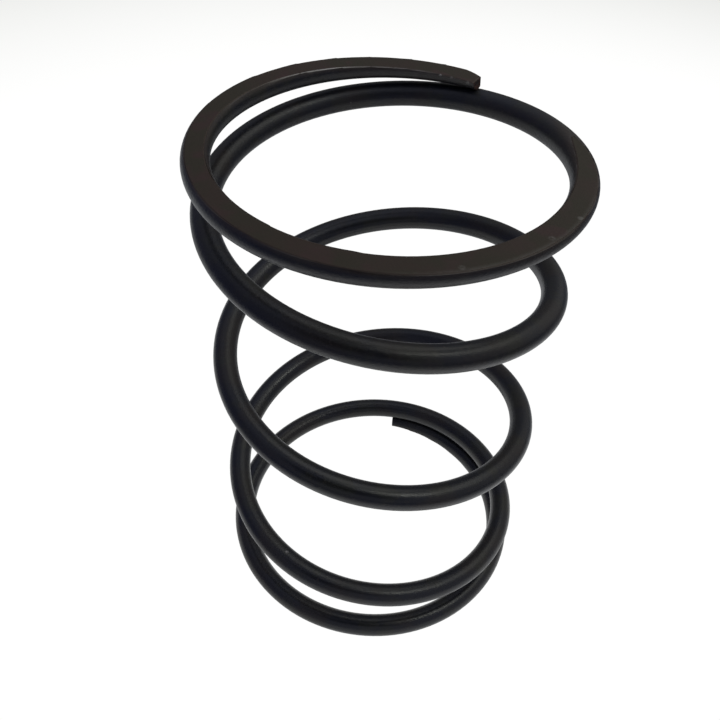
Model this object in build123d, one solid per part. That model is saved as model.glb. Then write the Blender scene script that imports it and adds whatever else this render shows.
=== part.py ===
from build123d import *
from math import cos, pi, radians, sin
import os

# A small helical compression spring in round wire, with closed and ground ends.
# It stands on its lower ground face in the plane z = 0, with the z axis up through
# its middle. Millimetres and degrees. Turns are counted along the wire from the
# lower tip, and azimuths from +X towards +Y.

# Wire and coils
wire_diameter = 2.5
end_coil_outer_diameter = 36.0
active_coil_outer_diameter = 35.5   # the coil draws in where its wire climbs
total_turns = 5.055
left_handed = True                  # seen from above, it climbs clockwise

# Length and ends
free_length = 54.0                  # from ground face to ground face
closed_turns = 0.48                 # at each end, wound at the least lead
opening_turns = 1.44                # over which the lead grows to its full value
tip_thickness = 1.1                 # what the grinding leaves of the wire at a tip
tip_clearance = 0.05                # from a tip to the coil that it closes on

# How the coils stand between the two ground faces
lower_tip_azimuth = 80.0
coil_lean = 1.9                     # of the coil axis, out of square with the faces
lean_azimuth = 155.0                # the side that the coil axis leans towards

# Fineness of the path
spans_per_turn = 4
points_per_span = 8

wire_radius = wire_diameter / 2
end_coil_radius = (end_coil_outer_diameter - wire_diameter) / 2
active_coil_radius = (active_coil_outer_diameter - wire_diameter) / 2
tip_centre_offset = tip_thickness - wire_radius   # from a ground face inwards to a tip's centre


def azimuth(turns):
    """Azimuth of the wire's centre, in radians."""
    way = -1 if left_handed else 1
    return radians(lower_tip_azimuth) + way * 2 * pi * turns


def opening(turns):
    """How far the coil has opened: 0 where it is closed, 1 where its lead is full."""
    from_end = min(turns, total_turns - turns)
    grown = min(max((from_end - closed_turns) / opening_turns, 0), 1)
    return grown ** 2 * (3 - 2 * grown)


def opened_turns(turns):
    """The opening summed along the wire, from the lower tip."""
    from_end = min(turns, total_turns - turns)
    grown = min(max((from_end - closed_turns) / opening_turns, 0), 1)
    fully_open = max(from_end - closed_turns - opening_turns, 0)
    from_this_end = opening_turns * (grown ** 3 - grown ** 4 / 2) + fully_open
    if turns <= total_turns / 2:
        return from_this_end
    return 2 * opened_turns(total_turns / 2) - from_this_end


def lean_drop(turns):
    """How much the lean lowers a point of an end coil."""
    return end_coil_radius * sin(radians(coil_lean)) * cos(azimuth(turns) - radians(lean_azimuth))


def climb():
    """Height from tip to tip along the coil axis that gives the free length."""
    upright = free_length - 2 * tip_centre_offset + lean_drop(total_turns) - lean_drop(0)
    return upright / cos(radians(coil_lean))


def leads():
    """Least and full lead for which each tip closes on its neighbour and the climb is right."""
    first_turn = opened_turns(1)
    closing = (wire_diameter + tip_clearance) / (1 - first_turn)
    slope = first_turn / (1 - first_turn)
    opened = opened_turns(total_turns)
    full = (climb() - closing * (total_turns - opened)) / (opened - slope * (total_turns - opened))
    return closing - slope * full, full


least_lead, full_lead = leads()


def centre(turns):
    """A point of the wire's centre line about an upright coil axis, from the lower tip's level."""
    draw_in = (end_coil_radius - active_coil_radius) * opening(turns) ** 2
    radius = end_coil_radius - draw_in
    height = least_lead * turns + (full_lead - least_lead) * opened_turns(turns)
    return Vector(radius * cos(azimuth(turns)), radius * sin(azimuth(turns)), height)


def stand(wire):
    """Lifts the coil until the lower tip has its thickness, and leans it about its middle."""
    middle_above_tip = (free_length / 2 - tip_centre_offset - lean_drop(0)) / cos(radians(coil_lean))
    lifted = Pos(0, 0, free_length / 2 - middle_above_tip) * wire
    sideways = (-sin(radians(lean_azimuth)), cos(radians(lean_azimuth)), 0)
    return lifted.rotate(Axis((0, 0, free_length / 2), sideways), coil_lean)


def heading(turns):
    """Direction of the centre line."""
    step = 1e-4
    return (centre(turns + step) - centre(turns - step)).normalized()


def path_span(start, end):
    """A stretch of the centre line, which meets the next without a kink."""
    points = [centre(start + (end - start) * k / points_per_span) for k in range(points_per_span + 1)]
    return Spline(*points, tangents=[heading(start), heading(end)], tangent_scalars=[1, 1])


def wire_path():
    """The whole centre line in equal spans."""
    count = round(total_turns * spans_per_turn)
    ends = [total_turns * k / count for k in range(count + 1)]
    return Wire([path_span(start, end) for start, end in zip(ends, ends[1:])])


def coiled_wire():
    """The wire as wound, round from tip to tip."""
    path = wire_path()
    section = Plane(origin=path @ 0, z_dir=path % 0) * Circle(wire_radius)
    return sweep(section, path=path, is_frenet=True)


def ground(wire):
    """Grinds both ends flat, square to the z axis and the free length apart."""
    between_faces = Box(2 * end_coil_outer_diameter, 2 * end_coil_outer_diameter, free_length)
    return Pos(0, 0, free_length / 2) * between_faces & wire


os.makedirs("parts", exist_ok=True)
solid = ground(stand(coiled_wire())).solid()
export_step(solid, "parts/spring.step")
print(f"least lead {least_lead:.3f}, full lead {full_lead:.3f}, volume {solid.volume:.1f} mm3")
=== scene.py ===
"""Looks of a small compression spring: its wire, its ground ends and the stage it stands on."""

from math import atan, cos, pi, radians, sin

import bpy
from bpy.props import FloatProperty, FloatVectorProperty, IntProperty, PointerProperty
from mathutils import Matrix, Vector


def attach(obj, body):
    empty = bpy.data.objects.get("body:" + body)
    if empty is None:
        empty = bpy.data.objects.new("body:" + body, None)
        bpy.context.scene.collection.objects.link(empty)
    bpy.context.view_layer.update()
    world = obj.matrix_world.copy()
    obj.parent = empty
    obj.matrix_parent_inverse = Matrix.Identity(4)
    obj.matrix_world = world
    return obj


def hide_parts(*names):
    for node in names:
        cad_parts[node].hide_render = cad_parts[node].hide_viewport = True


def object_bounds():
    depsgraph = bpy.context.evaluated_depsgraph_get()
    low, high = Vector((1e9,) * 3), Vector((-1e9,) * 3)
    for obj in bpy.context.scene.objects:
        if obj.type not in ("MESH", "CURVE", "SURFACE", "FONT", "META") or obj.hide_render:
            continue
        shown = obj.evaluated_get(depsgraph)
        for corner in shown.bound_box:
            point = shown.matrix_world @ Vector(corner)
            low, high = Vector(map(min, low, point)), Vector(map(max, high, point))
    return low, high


bl_info = {
    "name": "Compression spring looks",
    "version": (1, 0, 0),
    "blender": (4, 5, 0),
    "location": "View3D > Sidebar > Spring",
    "description": "Models the blackened wire of a compression spring and the stage it stands on",
    "category": "Object",
}

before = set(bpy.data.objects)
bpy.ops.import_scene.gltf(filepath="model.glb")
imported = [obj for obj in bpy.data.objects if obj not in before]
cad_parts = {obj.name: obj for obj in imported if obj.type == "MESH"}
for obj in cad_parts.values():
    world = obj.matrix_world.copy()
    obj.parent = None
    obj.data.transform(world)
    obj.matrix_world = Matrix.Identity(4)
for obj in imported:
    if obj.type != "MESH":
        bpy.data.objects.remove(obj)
CAD_LOW, CAD_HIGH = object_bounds()
MM = 0.001
WIRE, GROUND, RIM, TIP = range(4)   # the wire's material slots

SAME_PLACE = 0.001 * MM     # places nearer than this count as one
ON_THE_CUT = 0.0001 * MM    # a point nearer than this to a cutting plane lies on it
SOFT_ANGLE = radians(24)    # faces that meet at less than this are shaded as one surface
EDGE_DROP = 0.7             # depth of the worn edge round a ground face, over its width
SLOPE_FOOT = 0.6            # where a sheared end starts to slope, in wire radii from its middle
CORNER_FLATS = (0.2, 0.45, 0.7, 0.95)   # how far along a tip's corner each of its flats lies

# Bright spots, some rubbed nicks and some painted glints: a place on the surface and a size, in
# millimetres, and how strongly the pale steel shows
NICKS_AND_GLINTS = (
    ((-9.2, -13.5, 10.4), 0.25, 1.0),
    ((-12.1, 10.6, 50.2), 0.20, 0.8),
    ((4.2, 15.0, 53.9), 0.20, 0.8),
    ((5.3, 14.6, 53.9), 0.16, 0.6),
    ((6.9, 13.9, 53.8), 0.24, 0.5),
    ((-2.8, 15.5, 53.9), 0.30, 0.9),
    ((-4.6, 15.3, 50.3), 0.13, 0.25),
)
# Rubbed nicks on the upper ground face, with the same columns
FACE_NICKS = (
    ((13.9, -9.2, 54.0), 0.34, 0.20),
    ((11.2, -12.1, 54.0), 0.38, 0.20),
    ((4.1, -16.3, 54.0), 0.36, 0.20),
)


def length(name, description, millimetres):
    """A length that is shown in the scene's units."""
    return FloatProperty(name=name, description=description, default=millimetres * MM,
                         min=0.0, precision=5, unit="LENGTH")


def turns_of(name, description, default):
    """A number of turns along the wire."""
    return FloatProperty(name=name, description=description, default=default, min=0.0, precision=3)


def angle(name, description, in_degrees):
    """An angle, given here in degrees."""
    return FloatProperty(name=name, description=description, default=radians(in_degrees),
                         precision=4, unit="ROTATION")


def share(name, description, default):
    """A number from 0 to 1."""
    return FloatProperty(name=name, description=description, default=default,
                         min=0.0, max=1.0, precision=3, subtype="FACTOR")


def colour(name, description, red, green, blue):
    """A linear colour."""
    return FloatVectorProperty(name=name, description=description, default=(red, green, blue),
                               min=0.0, max=1.0, size=3, precision=4, subtype="COLOR")


def glow(name, description, red, green, blue):
    """The linear colour of something that gives light, which may pass 1."""
    return FloatVectorProperty(name=name, description=description, default=(red, green, blue),
                               min=0.0, soft_max=2.0, size=3, precision=4, subtype="COLOR")


def floor_place(name, description, x, y):
    """A place on the floor, given here in millimetres."""
    return FloatVectorProperty(name=name, description=description, default=(x * MM, y * MM),
                               size=2, precision=5, subtype="XYZ", unit="LENGTH")


class SpringCoilSettings(bpy.types.PropertyGroup):
    """Sizes of the wire and the way it is coiled."""
    wire_diameter: length("Wire diameter", "Diameter of the round wire", 2.5)
    end_coil_outer_diameter: length("End coil diameter", "Outside diameter of the closed coils", 36.0)
    active_coil_outer_diameter: length("Active coil diameter", "Outside diameter of the open coils", 35.5)
    free_length: length("Free length", "Height from ground face to ground face",
                        (CAD_HIGH.z - CAD_LOW.z) / MM)
    tip_thickness: length("Tip thickness", "What grinding leaves of the wire at a tip", 1.1)
    tip_clearance: length("Tip clearance", "From a tip to the coil that it closes on", 0.05)
    edge_break: length("Edge break", "Width of the worn edge round a ground face", 0.09)
    lower_tip_cut: length("Lower tip cut", "What shearing took off the lower end", 0.20)
    upper_tip_spare: length("Upper tip spare", "What shearing left over on the upper end", 0.65)
    corner_start: length("Corner start", "How far before an end its corner starts to draw in", 1.9)
    corner_depth: length("Corner depth", "How far the outer corner of an end draws in", 0.70)
    tip_slope: angle("Tip slope", "Slope of the sheared ends", 4.0)
    total_turns: turns_of("Turns", "Turns of wire from tip to tip", 5.055)
    closed_turns: turns_of("Closed turns", "Turns at each end wound at the least lead", 0.48)
    opening_turns: turns_of("Opening turns", "Turns over which the lead grows to the full one", 1.44)
    lower_tip_azimuth: angle("Lower tip azimuth", "Where the lower tip stands, from +X towards +Y", 80.0)
    coil_lean: angle("Coil lean", "Coil axis, out of square with the ground faces", 1.9)
    lean_azimuth: angle("Lean azimuth", "The side that the coil axis leans towards", 155.0)


class SpringFinishSettings(bpy.types.PropertyGroup):
    """Colours and gloss of the blackened steel."""
    blackened: colour("Blackened wire", "Blue-black of the tempered wire", 0.0056, 0.0064, 0.0100)
    browned: colour("Browned wire", "Brown-black where the coating is thin", 0.0100, 0.0080, 0.0078)
    olive: colour("Olive bloom", "Olive-grey bloom on the wire", 0.0110, 0.0115, 0.0085)
    ground: colour("Ground face", "Brown-black of the ground ends", 0.0335, 0.0228, 0.0170)
    ground_olive: colour("Ground face, olive", "Olive patches on it", 0.0290, 0.0240, 0.0155)
    ground_red: colour("Ground face, reddish", "Reddish patches on it", 0.0395, 0.0220, 0.0200)
    # pale_steel is the steel in nicks and worn edges, and also paints the highlight along the inner edge
    # of each ground face and some glints
    pale_steel: colour("Bare steel", "Steel that shows in nicks and at worn edges", 0.30, 0.29, 0.27)
    cut_end: colour("Cut end", "Reddish brown of the sheared tips", 0.050, 0.024, 0.019)
    cut_dark: colour("Cut end, dark", "Dark brown of the sheared tips", 0.0110, 0.0075, 0.0075)
    wire_roughness: share("Wire roughness", "Roughness of the tempered wire", 0.325)
    ground_roughness: share("Ground roughness", "Roughness of the ground faces", 0.55)
    grain_depth: length("Grain depth", "Depth of the wire's etched grain", 0.075)


class SpringStageSettings(bpy.types.PropertyGroup):
    """Floor, lights and camera."""
    floor_radius: length("Floor radius", "Radius of the pale floor", 2500.0)
    floor_tone: glow("Floor tone", "Tone of the lit floor round the spring", 1.02, 1.02, 1.015)
    floor_edge_tone: glow("Far floor tone", "Tone of the far floor and the backdrop", 0.69, 0.70, 0.67)
    floor_light_tone: glow("Floor light", "Light from the floor round the spring", 1.14, 1.15, 1.17)
    floor_light_place: floor_place("Floor light place", "Where the floor light is full", 4.0, -28.0)
    floor_light_reach: length("Floor light reach", "How far out the floor light is halved", 65.0)
    floor_glow_tone: glow("Floor glow", "Weaker light from behind on the left", 0.64, 0.66, 0.68)
    floor_glow_place: floor_place("Floor glow place", "Where the floor glow is full", -98.0, 88.0)
    floor_glow_reach: length("Floor glow reach", "How far out the floor glow is halved", 119.27)
    floor_under_tone: glow("Shaded floor", "Light from the floor under the spring", 0.88, 0.89, 0.89)
    floor_dim_tone: glow("Dim floor", "Light from the floor far out", 0.015, 0.022, 0.045)
    floor_dim_place: floor_place("Dim patch place", "Middle of a dim patch behind", 12.0, 34.0)
    floor_cool_tone: glow("Cool floor", "Bluish light from the front left", 0.04, 0.06, 0.26)
    room_low: glow("Room, low", "Tone of the dim room along the horizon", 0.164, 0.164, 0.164)
    room_high: glow("Room, high", "Tone of the room overhead", 0.470, 0.500, 0.640)
    room_right: glow("Room, right", "Tone of the room's lighter side", 0.460, 0.455, 0.460)
    room_left: glow("Room, left", "Tone of the room to the left", 0.185, 0.195, 0.310)
    room_front: glow("Room, front", "Tone of the room in front of the spring", 0.400, 0.410, 0.480)
    room_above: glow("Room, above", "Tone of the room above the front", 0.595, 0.615, 0.755)
    key_tone: glow("Softbox", "Tone of the broad softbox's face", 1.05, 1.04, 0.88)
    key_azimuth: angle("Softbox azimuth", "Side that the softbox stands on", 29.0)
    key_elevation: angle("Softbox elevation", "How high the softbox stands", 63.0)
    key_distance: length("Softbox distance", "From the middle of the spring to the softbox", 300.0)
    key_size: length("Softbox size", "Width of the softbox's face", 280.0)
    lamp_tone: glow("Lamp", "Tone of the small lamp's face", 9.4, 9.6, 8.4)
    lamp_azimuth: angle("Lamp azimuth", "Side that the lamp stands on", 338.0)
    lamp_elevation: angle("Lamp elevation", "How high the lamp stands", 61.0)
    lamp_distance: length("Lamp distance", "From the middle of the spring to the lamp", 340.0)
    lamp_size: length("Lamp size", "Width of the lamp's face", 55.0)
    card_width: length("Dark card width", "Width of the dark card round the lens", 84.0)
    card_height: length("Dark card height", "Height of the dark card round the lens", 55.44)
    card_setback: length("Dark card setback", "How far the card stands behind the lens", 2.0)
    card_tone: glow("Dark card", "Tone of the dark card", 0.01, 0.01, 0.01)
    lens: FloatProperty(name="Lens", description="Focal length of the camera", default=38.34,
                        min=1.0, unit="CAMERA")
    camera_place: FloatVectorProperty(name="Camera place", description="Where the camera stands",
                                      default=(-3.906 * MM, -59.748 * MM, 87.210 * MM),
                                      size=3, precision=5, subtype="TRANSLATION", unit="LENGTH")
    camera_turn: FloatVectorProperty(name="Camera turn", description="How the camera is turned",
                                     default=(radians(45.261), radians(-3.009), radians(1.287)),
                                     size=3, precision=4, subtype="EULER", unit="ROTATION")


# ---------------------------------------------------------------- node helpers

class Socket:
    """An output of a node, with the arithmetic that shader maths needs."""

    def __init__(self, tree, output):
        self.tree = tree
        self.output = output

    def maths(self, operation, *values):
        """Adds a Math node for values that are sockets or numbers."""
        node = self.tree.nodes.new("ShaderNodeMath")
        node.operation = operation
        for place, value in enumerate(values):
            if isinstance(value, Socket):
                self.tree.links.new(value.output, node.inputs[place])
            else:
                node.inputs[place].default_value = value
        return Socket(self.tree, node.outputs[0])

    def __add__(self, other):
        return self.maths("ADD", self, other)

    def __sub__(self, other):
        return self.maths("SUBTRACT", self, other)

    def __rsub__(self, other):
        return self.maths("SUBTRACT", other, self)

    def __mul__(self, other):
        return self.maths("MULTIPLY", self, other)

    def __rtruediv__(self, other):
        return self.maths("DIVIDE", other, self)

    __radd__ = __add__

    def sine(self):
        return self.maths("SINE", self)

    def cosine(self):
        return self.maths("COSINE", self)

    def root(self):
        return self.maths("SQRT", self)

    def between(self, low, high):
        """0 below low, 1 above high, smooth in between. Falls instead if low is the greater."""
        falling = low > high
        node = self.tree.nodes.new("ShaderNodeMapRange")
        node.interpolation_type = "SMOOTHSTEP"
        self.tree.links.new(self.output, node.inputs["Value"])
        node.inputs["From Min"].default_value = min(low, high)
        node.inputs["From Max"].default_value = max(low, high)
        node.inputs["To Min"].default_value = 1.0 if falling else 0.0
        node.inputs["To Max"].default_value = 0.0 if falling else 1.0
        return Socket(self.tree, node.outputs["Result"])

    def faded(self):
        """1 at 0, a half at 1, and fading with the cube from there."""
        return 1 / (self * self * self + 1)


class Finish:
    """The nodes of a material or of a world, added one by one."""

    def __init__(self, owner):
        owner.use_nodes = True
        self.owner = owner
        self.tree = owner.node_tree
        self.tree.nodes.clear()

    def node(self, kind, settings=None, output=0, inputs=None, **named):
        """Adds a node: its settings first, then the values or links of its inputs."""
        made = self.tree.nodes.new(kind)
        for name, value in (settings or {}).items():
            setattr(made, name, value)
        for name, value in {**(inputs or {}), **named}.items():
            entry = made.inputs[name if isinstance(name, int) else name.replace("_", " ")]
            if isinstance(value, Socket):
                self.tree.links.new(value.output, entry)
            elif entry.type == "RGBA":
                entry.default_value = (*value, 1.0)
            else:
                entry.default_value = value
        return Socket(self.tree, made.outputs[output])

    def place(self):
        """The shaded place, in the object's own metres."""
        return self.node("ShaderNodeTexCoord", output="Object")

    def apart(self, vector):
        """The three parts of a vector."""
        made = self.tree.nodes.new("ShaderNodeSeparateXYZ")
        self.tree.links.new(vector.output, made.inputs[0])
        return [Socket(self.tree, made.outputs[k]) for k in range(3)]

    def together(self, x, y, z):
        """The vector of three parts."""
        return self.node("ShaderNodeCombineXYZ", X=x, Y=y, Z=z)

    def towards(self, where, azimuth):
        """How far a place lies towards an azimuth."""
        x, y, _ = self.apart(where)
        return x * cos(azimuth) + y * sin(azimuth)

    def away(self, where, centre=(0.0, 0.0)):
        """How far a place lies from an upright line through a centre."""
        x, y, _ = self.apart(where)
        across_x, across_y = x - centre[0], y - centre[1]
        return (across_x * across_x + across_y * across_y).root()

    def noise(self, place, scale, detail=2.0, roughness=0.5):
        """Noise with a number of features to each unit of the place."""
        return self.node("ShaderNodeTexNoise", Vector=place, Scale=scale, Detail=detail,
                         Roughness=roughness)

    def mixed(self, factor, first, second):
        """A colour between two others."""
        colours = {0: factor, 6: first, 7: second}    # of the node's inputs, those that mix colours
        return self.node("ShaderNodeMix", {"data_type": "RGBA"}, output=2, inputs=colours)

    def ended(self, shader, ending="ShaderNodeOutputMaterial"):
        """Ends the nodes in one shader, and gives back what they belong to."""
        last = self.tree.nodes.new(ending)
        self.tree.links.new(shader.output, last.inputs["Surface"])
        return self.owner

    def steel(self, base, roughness, height, relief, ior):
        """Ends a material as steel. relief is the depth that height 1 stands for."""
        bump = self.node("ShaderNodeBump", Height=height, Distance=relief, Strength=1.0)
        return self.ended(self.node("ShaderNodeBsdfPrincipled", Base_Color=base, Roughness=roughness,
                                    Normal=bump, Metallic=0.0, IOR=ior))

    def shining(self, tone):
        """Ends a material that gives light instead of reflecting it."""
        return self.ended(self.node("ShaderNodeEmission", Color=tone))


def new_finish(name):
    """A new material, as yet without nodes."""
    return Finish(bpy.data.materials.new(name))


# ---------------------------------------------------------------- the coil's law

class CoilLaw:
    """The centre line of the wire, by turns from the lower tip."""

    def __init__(self, sizes):
        self.sizes = sizes
        self.wire_radius = sizes.wire_diameter / 2
        self.end_radius = (sizes.end_coil_outer_diameter - sizes.wire_diameter) / 2
        self.active_radius = (sizes.active_coil_outer_diameter - sizes.wire_diameter) / 2
        self.tip_offset = sizes.tip_thickness - self.wire_radius
        self.turns = sizes.total_turns
        self.least_lead, self.full_lead = self.leads()
        self.length = 0.0    # of the wire, known once it is coiled

    def azimuth(self, turns):
        """Azimuth of the centre line, which climbs clockwise."""
        return self.sizes.lower_tip_azimuth - 2 * pi * turns

    def grown(self, turns):
        """How far along its growth the lead is, from 0 to 1."""
        from_end = min(turns, self.turns - turns)
        return min(max((from_end - self.sizes.closed_turns) / self.sizes.opening_turns, 0), 1)

    def opening(self, turns):
        """0 where the coil is closed, 1 where its lead is full."""
        grown = self.grown(turns)
        return grown ** 2 * (3 - 2 * grown)

    def opened(self, turns):
        """The opening summed along the wire, from the lower tip."""
        closed, widening = self.sizes.closed_turns, self.sizes.opening_turns
        grown = self.grown(turns)
        fully_open = max(min(turns, self.turns - turns) - closed - widening, 0)
        from_this_end = widening * (grown ** 3 - grown ** 4 / 2) + fully_open
        if turns <= self.turns / 2:
            return from_this_end
        return 2 * self.opened(self.turns / 2) - from_this_end

    def lean_drop(self, turns):
        """How much the lean lowers a point of an end coil."""
        towards_lean = cos(self.azimuth(turns) - self.sizes.lean_azimuth)
        return self.end_radius * sin(self.sizes.coil_lean) * towards_lean

    def leads(self):
        """Least and full lead for which each tip closes on its neighbour and the height is right."""
        first_turn = self.opened(1)
        closing = (self.sizes.wire_diameter + self.sizes.tip_clearance) / (1 - first_turn)
        slope = first_turn / (1 - first_turn)
        opened = self.opened(self.turns)
        upright = self.sizes.free_length - 2 * self.tip_offset
        upright = upright + self.lean_drop(self.turns) - self.lean_drop(0)
        climb = upright / cos(self.sizes.coil_lean)
        full = (climb - closing * (self.turns - opened)) / (opened - slope * (self.turns - opened))
        return closing - slope * full, full

    def centre(self, turns):
        """A point of the centre line about an upright coil axis."""
        draw_in = (self.end_radius - self.active_radius) * self.opening(turns) ** 2
        radius = self.end_radius - draw_in
        height = self.least_lead * turns + (self.full_lead - self.least_lead) * self.opened(turns)
        return Vector((radius * cos(self.azimuth(turns)), radius * sin(self.azimuth(turns)), height))

    def heading(self, turns):
        """How the centre line moves with each turn."""
        step = 1e-4
        return (self.centre(turns + step) - self.centre(turns - step)) / (2 * step)

    def standing(self):
        """Lifts the coil until the lower tip has its thickness, and leans it about its middle."""
        half = self.sizes.free_length / 2
        lean, side = self.sizes.coil_lean, self.sizes.lean_azimuth
        middle_above_tip = (half - self.tip_offset - self.lean_drop(0)) / cos(lean)
        middle = Matrix.Translation((0, 0, half))
        leaning = Matrix.Rotation(lean, 4, Vector((-sin(side), cos(side), 0)))
        return middle @ leaning @ Matrix.Translation((0, 0, -middle_above_tip))


# ---------------------------------------------------------------- finishes

def along_the_wire(finish, law, stretch=1.0):
    """Coordinates in millimetres on the wire's surface without a seam, stretched along it."""
    along, around, _ = finish.apart(finish.node("ShaderNodeUVMap", {"uv_map": "UVMap"}))
    turn = around * (2 * pi)
    radius = law.wire_radius / MM
    return finish.together(turn.cosine() * radius, turn.sine() * radius,
                           along * (law.length / MM / stretch))


def bright_spot(finish, where, place, size, strength):
    """The strength in a small bright spot, and 0 away from it. place and size in millimetres."""
    centre = [part * MM for part in place]
    away = finish.node("ShaderNodeVectorMath", {"operation": "DISTANCE"}, output="Value",
                       inputs={0: where, 1: centre})
    return away.between(size * MM, 0.35 * size * MM) * strength


def bright_spots(finish, where, spots):
    """All the bright spots of a list."""
    return sum(bright_spot(finish, where, *spot) for spot in spots)


def tempered_wire(looks, law):
    """Blue-black tempered wire: an etched grain, drawing lines, and brown where the film is thin."""
    finish = new_finish("tempered_wire")
    where = finish.place()
    place = along_the_wire(finish, law)
    lines = finish.noise(along_the_wire(finish, law, stretch=26.0), 4.2, detail=4.0, roughness=0.6)
    grain = finish.noise(place, 3.8, detail=3.0, roughness=0.62)
    fine = finish.noise(place, 13.0)
    film = finish.noise(place, 0.15, detail=3.0, roughness=0.55)
    bloom = finish.noise(place, 0.42)
    height_up, top = finish.apart(where)[2], law.sizes.free_length
    dull = height_up.between(0.76 * top, 0.90 * top)
    near_top = height_up.between(top - 0.5 * MM, top - 0.05 * MM)
    near_foot = height_up.between(0.5 * MM, 0.05 * MM)
    base = finish.mixed(film.between(0.44, 0.60), looks.blackened, looks.browned)
    base = finish.mixed(bloom.between(0.52, 0.66) * 0.7, base, looks.olive)
    base = finish.mixed(grain.between(0.56, 0.74) * 0.35, base, looks.ground)
    base = finish.mixed((near_top + near_foot) * 0.5, base, looks.ground)
    # Partly painted light: these spots are rubbed nicks, and some are painted glints
    bright_marks = bright_spots(finish, where, NICKS_AND_GLINTS) * fine.between(0.42, 0.60)
    base = finish.mixed(bright_marks, base, looks.pale_steel)
    roughness = (film - 0.5) * 0.18 + (lines - 0.5) * 0.10 + (grain - 0.5) * 0.16
    roughness = roughness + dull * 0.06 + looks.wire_roughness
    height = grain * (dull * 0.14 + 0.24) + fine * 0.04 + lines * 0.08
    return finish.steel(base, roughness, height, looks.grain_depth, ior=1.39)


def ground_steel(looks, law):
    """Ground and blackened face: fine grinding lines, brown with olive and reddish patches."""
    finish = new_finish("ground_steel")
    where = finish.place()
    x, y, z = finish.apart(where)
    across = (x * 0.94 + y * 0.33) * (1 / MM)      # across the grinding lines
    along = (y * 0.94 - x * 0.33) * (0.05 / MM)    # and along them, 20 times as long
    scored = finish.together(across, along, z * (1 / MM))
    lines = finish.noise(scored, 6.0, detail=3.0, roughness=0.6)
    patches = finish.noise(where, 0.16 / MM, detail=3.0, roughness=0.55)
    bloom = finish.noise(where, 0.34 / MM)
    grain = finish.noise(where, 5.0 / MM, detail=3.0, roughness=0.6)
    wear = finish.noise(where, 1.6 / MM, detail=3.0, roughness=0.6)
    base = finish.mixed(patches.between(0.42, 0.60), looks.ground, looks.ground_olive)
    base = finish.mixed(bloom.between(0.54, 0.70) * 0.8, base, looks.ground_red)
    base = finish.mixed(grain.between(0.58, 0.78) * 0.30, base, looks.browned)
    coil_middle = law.standing() @ Vector((0.0, 0.0, law.sizes.free_length))
    out = finish.away(where, coil_middle)
    front = finish.towards(where, radians(310)).between(11 * MM, 16 * MM)
    edge = out.between(law.end_radius + 0.60 * MM, law.end_radius + 1.15 * MM) * front
    bright_marks = edge * (wear.between(0.30, 0.60) * 0.07 + 0.05)
    bright_marks = bright_marks + bright_spots(finish, where, FACE_NICKS) * wear.between(0.25, 0.60)
    base = finish.mixed(bright_marks, base, looks.pale_steel)
    roughness = (lines - 0.5) * 0.14 + (grain - 0.5) * 0.14 + looks.ground_roughness
    return finish.steel(base, roughness, lines * 0.5 + grain * 0.5, 0.006 * MM, ior=1.26)


def worn_edge_painted_highlight(looks, law):
    """The edge round a ground face, painted bright on the inside for a third of a turn from the tip:
    partly rubbed bare steel, partly a painted highlight.
    """
    finish = new_finish("worn_edge_painted_highlight")
    where = finish.place()
    inside = finish.away(where).between(law.end_radius, law.end_radius - 0.4 * MM)
    height_up, top = finish.apart(where)[2], law.sizes.free_length
    upper = height_up.between(0.4 * top, 0.6 * top)
    from_tip = radians(65)
    near_tips = 0.0
    for middle, here in ((law.azimuth(0) - from_tip, 1 - upper),
                         (law.azimuth(law.turns) + from_tip, upper)):
        towards = finish.towards(where, middle)
        faint = towards.between(9.4 * MM, 12.6 * MM)
        strong = towards.between(15.1 * MM, 16.0 * MM)
        near_tips = near_tips + (faint * 0.35 + strong * 0.65) * here
    wear = finish.noise(where, 1.3 / MM, detail=4.0, roughness=0.65)
    grain = finish.noise(where, 6.0 / MM, roughness=0.6)
    # Painted highlight: the bright inner strip near each tip is partly rubbed steel and partly the edge's
    # painted highlight; the spots add nicks and painted glints
    bright_marks = wear.between(0.24, 0.46) * inside * near_tips + bright_spots(finish, where, NICKS_AND_GLINTS)
    base = finish.mixed(bright_marks * 0.9, looks.ground, looks.pale_steel)
    return finish.steel(base, (grain - 0.5) * 0.15 + 0.5, grain, 0.004 * MM, ior=1.30)


def cut_steel(looks):
    """The sheared end of the wire, rough and reddish."""
    finish = new_finish("cut_steel")
    torn = finish.noise(finish.place(), 2.6 / MM, detail=4.0, roughness=0.65)
    base = finish.mixed(torn.between(0.40, 0.58), looks.cut_dark, looks.cut_end)
    return finish.steel(base, torn * 0.2 + 0.62, torn, 0.14 * MM, ior=1.22)


# ---------------------------------------------------------------- modelling helpers

def deselect_all():
    """Leaves edit mode and selects nothing."""
    if bpy.context.mode != "OBJECT":
        bpy.ops.object.mode_set(mode="OBJECT")
    bpy.ops.object.select_all(action="DESELECT")


def choose_faces(piece, wanted):
    """Selects, in edit mode, the faces for which wanted is true."""
    bpy.ops.mesh.select_all(action="DESELECT")
    bpy.ops.mesh.select_mode(type="FACE")
    bpy.ops.object.mode_set(mode="OBJECT")
    for face in piece.data.polygons:
        face.select = wanted(face)
    bpy.ops.object.mode_set(mode="EDIT")


def choose_rim(piece, height):
    """Selects, in edit mode, the outer vertices of the rim round the ground face at this height."""
    bpy.ops.mesh.select_all(action="DESELECT")
    bpy.ops.mesh.select_mode(type="VERT")
    bpy.ops.object.mode_set(mode="OBJECT")
    level = [face for face in piece.data.polygons if abs(face.center.z - height) < SAME_PLACE]
    inner = {corner for face in level if face.material_index == GROUND for corner in face.vertices}
    rim = {corner for face in level if face.material_index == RIM for corner in face.vertices}
    for corner in rim - inner:
        piece.data.vertices[corner].select = True
    bpy.ops.object.mode_set(mode="EDIT")


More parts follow.
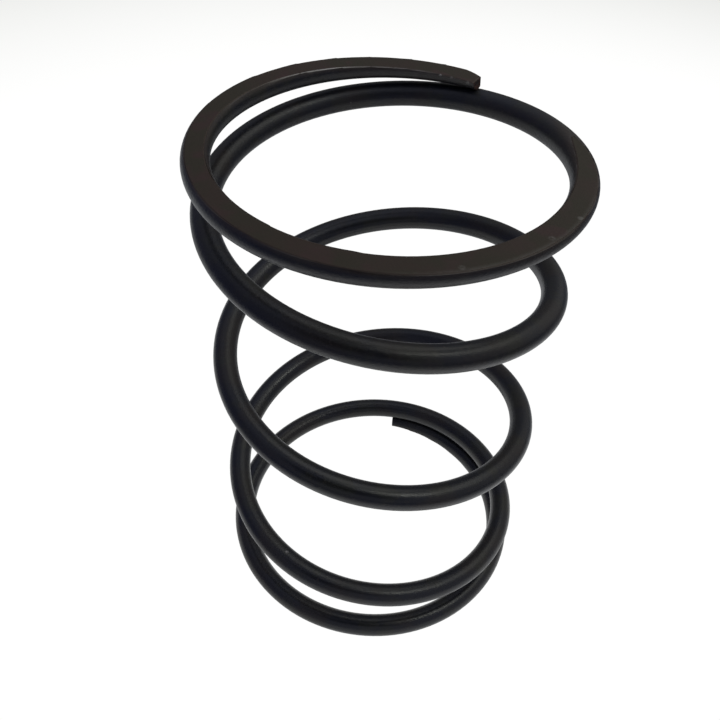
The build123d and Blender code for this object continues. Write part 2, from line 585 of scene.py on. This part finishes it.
class SPRING_OT_wire(bpy.types.Operator):
    """Coil the wire, grind both ends flat and give it its finishes"""
    bl_idname = "spring.wire"
    bl_label = "Spring wire"
    bl_options = {"REGISTER", "UNDO"}

    points_per_turn: IntProperty(name="Points per turn", default=16,
                                 description="Curve points to each turn")
    steps_per_point: IntProperty(name="Steps", default=8, description="Rings between two curve points")
    side_fineness: IntProperty(name="Side fineness", default=22, description="Fineness round the wire")

    def execute(self, context):
        sizes, looks = context.scene.spring_coil, context.scene.spring_finish
        law = CoilLaw(sizes)
        wire = self.coil(law)
        law.length = wire.data.splines[0].calc_length()
        bpy.ops.object.convert(target="MESH")
        wire = context.active_object
        wire.data.name = "spring_wire"
        for finish in (tempered_wire(looks, law), ground_steel(looks, law), worn_edge_painted_highlight(looks, law),
                       cut_steel(looks)):    # in the order of the slots
            wire.data.materials.append(finish)
        self.grind(wire, law)
        bpy.ops.object.shade_smooth_by_angle(angle=SOFT_ANGLE)
        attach(wire, "root")
        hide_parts("spring")
        return {"FINISHED"}

    def coil(self, law):
        """The wire as wound: a smooth curve with a round section."""
        deselect_all()
        bpy.ops.curve.primitive_bezier_curve_add(location=(0, 0, 0))
        wire = bpy.context.active_object
        wire.name = "spring_wire"
        count = round(law.turns * self.points_per_turn) + 1
        bpy.ops.object.mode_set(mode="EDIT")
        bpy.ops.curve.select_all(action="SELECT")
        bpy.ops.curve.subdivide(number_cuts=count - 2)
        bpy.ops.object.mode_set(mode="OBJECT")
        step = law.turns / (count - 1)
        for place, point in enumerate(wire.data.splines[0].bezier_points):
            turns = step * place
            reach = law.heading(turns) * (step / 3)
            point.handle_left_type = point.handle_right_type = "FREE"
            point.co = law.centre(turns)
            point.handle_left = point.co - reach
            point.handle_right = point.co + reach
        wire.data.twist_mode = "Z_UP"
        wire.data.resolution_u = self.steps_per_point
        wire.data.bevel_depth = law.wire_radius
        wire.data.bevel_resolution = self.side_fineness
        wire.data.use_fill_caps = True
        wire.matrix_world = law.standing()
        bpy.ops.object.transform_apply(location=True, rotation=True, scale=True)
        return wire

    def grind(self, wire, law):
        """Shears the tips, cuts both ends flat, and breaks the edge round each ground face."""
        sizes = law.sizes
        bpy.ops.object.mode_set(mode="EDIT")
        bpy.ops.mesh.select_all(action="SELECT")
        bpy.ops.mesh.remove_doubles(threshold=SAME_PLACE)
        self.shear(wire, law, turns=0.0, way=-1.0, spare=-sizes.lower_tip_cut)
        self.shear(wire, law, turns=law.turns, way=1.0, spare=sizes.upper_tip_spare)
        for height, outwards in ((0.0, -1.0), (sizes.free_length, 1.0)):
            bpy.ops.mesh.select_all(action="SELECT")
            bpy.ops.mesh.bisect(plane_co=(0, 0, height), plane_no=(0, 0, outwards), use_fill=True,
                                clear_outer=True, threshold=ON_THE_CUT)
            self.paint(wire, RIM)
            bpy.ops.mesh.inset(thickness=sizes.edge_break, depth=0.0, use_even_offset=True)
            self.paint(wire, GROUND)
            choose_rim(wire, height)
            bpy.ops.transform.translate(value=(0, 0, -EDGE_DROP * sizes.edge_break * outwards))
        bpy.ops.object.mode_set(mode="OBJECT")

    def paint(self, wire, slot):
        """Gives the selected faces a finish."""
        wire.active_material_index = slot
        bpy.ops.object.material_slot_assign()

    def shear(self, wire, law, turns, way, spare):
        """Moves one end of the wire on by its spare length, slopes it and rounds its outer corner."""
        sizes, standing = law.sizes, law.standing()
        tip = standing @ law.centre(turns)
        onwards = standing.to_3x3() @ law.heading(turns).normalized() * way
        outwards = Vector((tip.x, tip.y, 0.0)).normalized()
        upwards = Vector((0.0, 0.0, way))
        choose_faces(wire, lambda face: (face.center - tip).length < law.wire_radius
                     and abs((face.center - tip).dot(onwards)) < SAME_PLACE)
        self.paint(wire, TIP)
        bpy.ops.transform.translate(value=onwards * spare)
        foot = onwards * spare - upwards * (SLOPE_FOOT * law.wire_radius)
        slope = sizes.tip_slope
        planes = [(tip + foot, onwards * cos(slope) + upwards * sin(slope))]
        corner = tip + outwards * law.wire_radius
        reach = sizes.corner_start + spare
        for part in CORNER_FLATS:
            drawn_in = outwards * (sizes.corner_depth * part ** 2)
            slope = atan(2 * sizes.corner_depth * part / reach)
            planes.append((corner + onwards * (reach * part - sizes.corner_start) - drawn_in,
                           onwards * sin(slope) + outwards * cos(slope)))
        for place, normal in planes:
            self.choose_end(wire, law, tip, turns / law.turns)
            bpy.ops.mesh.bisect(plane_co=place, plane_no=normal, use_fill=True, clear_outer=True,
                                threshold=ON_THE_CUT)
            self.paint(wire, TIP)

    def along(self, wire, face):
        """How far along the wire a face lies, from 0 to 1."""
        return wire.data.uv_layers[0].uv[face.loop_start].vector.x

    def choose_end(self, wire, law, tip, end):
        """Selects the end of the wire at a tip, 0 or 1 along it, and nothing of the coil beside it."""
        reach = 3 * law.sizes.wire_diameter
        choose_faces(wire, lambda face: (face.center - tip).length < reach
                     and (face.material_index == TIP
                          or abs(self.along(wire, face) - end) * law.length < reach))


class SPRING_OT_stage(bpy.types.Operator):
    """Set up the pale lit floor, the soft lights and the camera"""
    bl_idname = "spring.stage"
    bl_label = "Stage"
    bl_options = {"REGISTER", "UNDO"}

    def execute(self, context):
        scene, settings = context.scene, context.scene.spring_stage
        self.floor(settings)
        self.floor_light(settings)
        self.backdrop(settings)
        self.surroundings(scene, settings)
        self.softbox("key_softbox", settings.key_azimuth, settings.key_elevation,
                     settings.key_distance, settings.key_size, settings.key_tone)
        self.softbox("lamp", settings.lamp_azimuth, settings.lamp_elevation,
                     settings.lamp_distance, settings.lamp_size, settings.lamp_tone)
        self.camera(scene, settings)
        self.dark_card(scene.camera, settings)
        scene.view_settings.view_transform = "Standard"
        return {"FINISHED"}

    def disc(self, name, radius, depth):
        """A round sheet that lies just under the spring."""
        deselect_all()
        bpy.ops.mesh.primitive_circle_add(vertices=128, radius=radius, fill_type="NGON",
                                          location=(0, 0, CAD_LOW.z - depth))
        sheet = bpy.context.active_object
        sheet.name = name
        bpy.ops.object.transform_apply(location=True, rotation=True, scale=True)
        return sheet

    def floor(self, settings):
        """The pale floor that the camera sees. It gives no light to the wire."""
        floor = self.disc("floor", settings.floor_radius, 0.02 * MM)
        pale = new_finish("pale_floor")
        # Painted light: the floor glows at the lit tone round the spring and fades to the far tone
        # further out, a painted pool of light
        far = pale.away(pale.place(), (24 * MM, 0.0)).between(132 * MM, 300 * MM)
        tone = pale.mixed(far, settings.floor_tone, settings.floor_edge_tone)
        floor.data.materials.append(pale.shining(tone))
        floor.visible_diffuse = floor.visible_glossy = False

    def floor_light(self, settings):
        """A sheet under the floor that lights the wire from below, and that the camera doesn't see."""
        light = self.disc("floor_light", settings.floor_radius, 0.04 * MM)
        lit = new_finish("floor_light")
        where = lit.place()
        near = lit.away(where, settings.floor_light_place) * (1 / settings.floor_light_reach)
        wide = lit.away(where, settings.floor_glow_place) * (1 / settings.floor_glow_reach)
        outside = lit.away(where).between(22 * MM, 39 * MM)
        front_left = lit.towards(where, radians(235)).between(42 * MM, 110 * MM)
        close_behind = lit.away(where, settings.floor_dim_place).between(30 * MM, 8 * MM)
        tone = lit.mixed(wide.faded(), settings.floor_dim_tone, settings.floor_glow_tone)
        tone = lit.mixed(near.faded(), tone, settings.floor_light_tone)
        tone = lit.mixed(outside, settings.floor_under_tone, tone)
        tone = lit.mixed(front_left * 0.5, tone, settings.floor_cool_tone)
        tone = lit.mixed(close_behind * 0.42, tone, settings.floor_dim_tone)
        light.data.materials.append(lit.shining(tone))
        light.visible_camera = False

    def backdrop(self, settings):
        """A pale shell behind everything, which only the camera sees."""
        deselect_all()
        bpy.ops.mesh.primitive_uv_sphere_add(segments=64, ring_count=32, location=(0, 0, 0),
                                             radius=0.95 * settings.floor_radius)
        shell = bpy.context.active_object
        shell.name = "backdrop"
        bpy.ops.object.mode_set(mode="EDIT")
        bpy.ops.mesh.select_all(action="SELECT")
        bpy.ops.mesh.bisect(plane_co=(0, 0, -10 * MM), plane_no=(0, 0, -1), clear_outer=True)
        bpy.ops.mesh.select_all(action="SELECT")
        bpy.ops.mesh.flip_normals()
        bpy.ops.object.mode_set(mode="OBJECT")
        shell.data.materials.append(new_finish("pale_backdrop").shining(settings.floor_edge_tone))
        shell.visible_diffuse = shell.visible_glossy = shell.visible_shadow = False

    def surroundings(self, scene, settings):
        """The dim room that the wire reflects: darkest low down, lighter above and to the right."""
        scene.world = bpy.data.worlds.new("dim_room")
        room = Finish(scene.world)
        where = room.node("ShaderNodeTexCoord", output="Generated")
        z = room.apart(where)[2]
        low, high = z.between(0.95, 0.50), z.between(0.30, 0.85)
        tone = room.mixed(z.between(0.30, 1.0), settings.room_low, settings.room_high)
        for azimuth, height, lighter in ((0, low, settings.room_right), (195, low, settings.room_left),
                                         (280, low, settings.room_front),
                                         (275, high, settings.room_above)):
            side = room.towards(where, radians(azimuth)).between(0.1, 0.9)
            tone = room.mixed(side * height, tone, lighter)
        room.ended(room.node("ShaderNodeBackground", Color=tone), "ShaderNodeOutputWorld")

    def softbox(self, name, azimuth, elevation, distance, size, tone):
        """A soft square light that looks at the middle of the spring. Its tone is that of its face."""
        deselect_all()
        middle = (CAD_LOW + CAD_HIGH) / 2
        towards = Vector((cos(azimuth) * cos(elevation), sin(azimuth) * cos(elevation), sin(elevation)))
        bpy.ops.object.light_add(type="AREA", location=middle + towards * distance)
        lamp = bpy.context.active_object
        lamp.name = name
        lamp.data.shape = "SQUARE"
        lamp.data.size = size
        lamp.data.color = Vector(tone) / max(tone)
        lamp.data.energy = max(tone) * pi * size ** 2
        lamp.rotation_euler = towards.to_track_quat("Z", "Y").to_euler()

    def camera(self, scene, settings):
        """The camera, in front of the spring and above it."""
        deselect_all()
        bpy.ops.object.camera_add(location=settings.camera_place, rotation=settings.camera_turn)
        camera = bpy.context.active_object
        camera.name = "camera"
        camera.data.lens = settings.lens
        camera.data.sensor_width = 36.0
        camera.data.clip_start = 1 * MM
        scene.camera = camera

    def dark_card(self, camera, settings):
        """A dark card round the lens, which the wire reflects and the camera doesn't see."""
        deselect_all()
        bpy.ops.mesh.primitive_plane_add(size=settings.card_width, location=camera.location,
                                         rotation=camera.rotation_euler)
        card = bpy.context.active_object
        card.name = "dark_card"
        card.scale.y = settings.card_height / settings.card_width
        card.location += camera.matrix_world.to_3x3() @ Vector((0, 0, settings.card_setback))
        card.data.materials.append(new_finish("dark_card").shining(settings.card_tone))
        card.visible_camera = False


class SPRING_PT_panel(bpy.types.Panel):
    """Makes the spring and its stage"""
    bl_label = "Compression spring"
    bl_idname = "SPRING_PT_panel"
    bl_space_type = "VIEW_3D"
    bl_region_type = "UI"
    bl_category = "Spring"

    def draw(self, context):
        scene = context.scene
        for operator in (SPRING_OT_wire, SPRING_OT_stage):
            self.layout.operator(operator.bl_idname)
        for settings in (scene.spring_coil, scene.spring_finish, scene.spring_stage):
            box = self.layout.box()
            for name in settings.__annotations__:
                box.prop(settings, name)


CLASSES = (SpringCoilSettings, SpringFinishSettings, SpringStageSettings,
           SPRING_OT_wire, SPRING_OT_stage, SPRING_PT_panel)


def register():
    for cls in CLASSES:
        bpy.utils.register_class(cls)
    bpy.types.Scene.spring_coil = PointerProperty(type=SpringCoilSettings)
    bpy.types.Scene.spring_finish = PointerProperty(type=SpringFinishSettings)
    bpy.types.Scene.spring_stage = PointerProperty(type=SpringStageSettings)


def unregister():
    del bpy.types.Scene.spring_coil, bpy.types.Scene.spring_finish, bpy.types.Scene.spring_stage
    for cls in reversed(CLASSES):
        bpy.utils.unregister_class(cls)


def main():
    """Makes the spring and its stage."""
    register()
    bpy.ops.spring.wire()
    bpy.ops.spring.stage()


if __name__ == "__main__":
    main()
